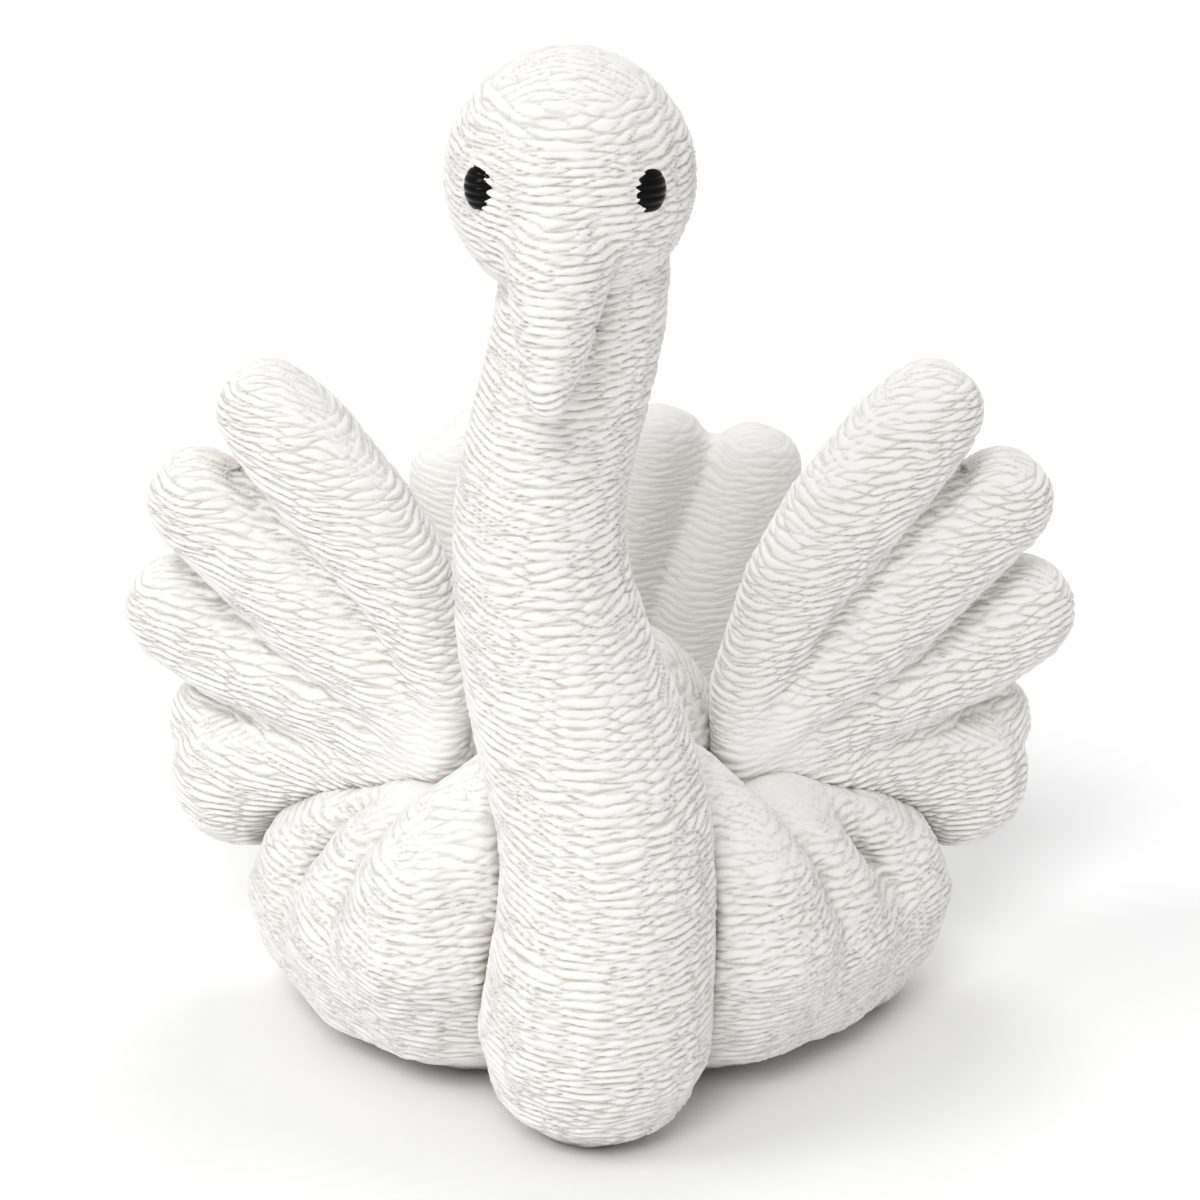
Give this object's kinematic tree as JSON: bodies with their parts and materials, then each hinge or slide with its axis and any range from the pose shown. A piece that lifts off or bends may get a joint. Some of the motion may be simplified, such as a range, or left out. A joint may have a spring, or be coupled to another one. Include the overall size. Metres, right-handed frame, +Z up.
{
  "type": "towel swan",
  "caption": "Swan folded from white terry towels, with an upright neck, a drooping beak, a pleated body, fanned wings and tail, and black bead eyes.",
  "frame": {"origin": "level with the flat underside, below the middle of the whole length from the front of the neck's foot to the back of the tail", "axes": "the swan faces -Y, its left wing in the picture is on -X, and +Z is up"},
  "size_m": [0.2912, 0.2314, 0.3107],
  "materials": {
    "towelling": "deep white terry pile, soft and matt",
    "bead": "glossy black bead"
  },
  "bodies": {
    "root": {"neck_and_head": "towelling", "body": "towelling", "left_wing": "towelling", "right_wing": "towelling", "tail": "towelling", "left_eye": "bead", "right_eye": "bead"}
  },
  "joints": []
}
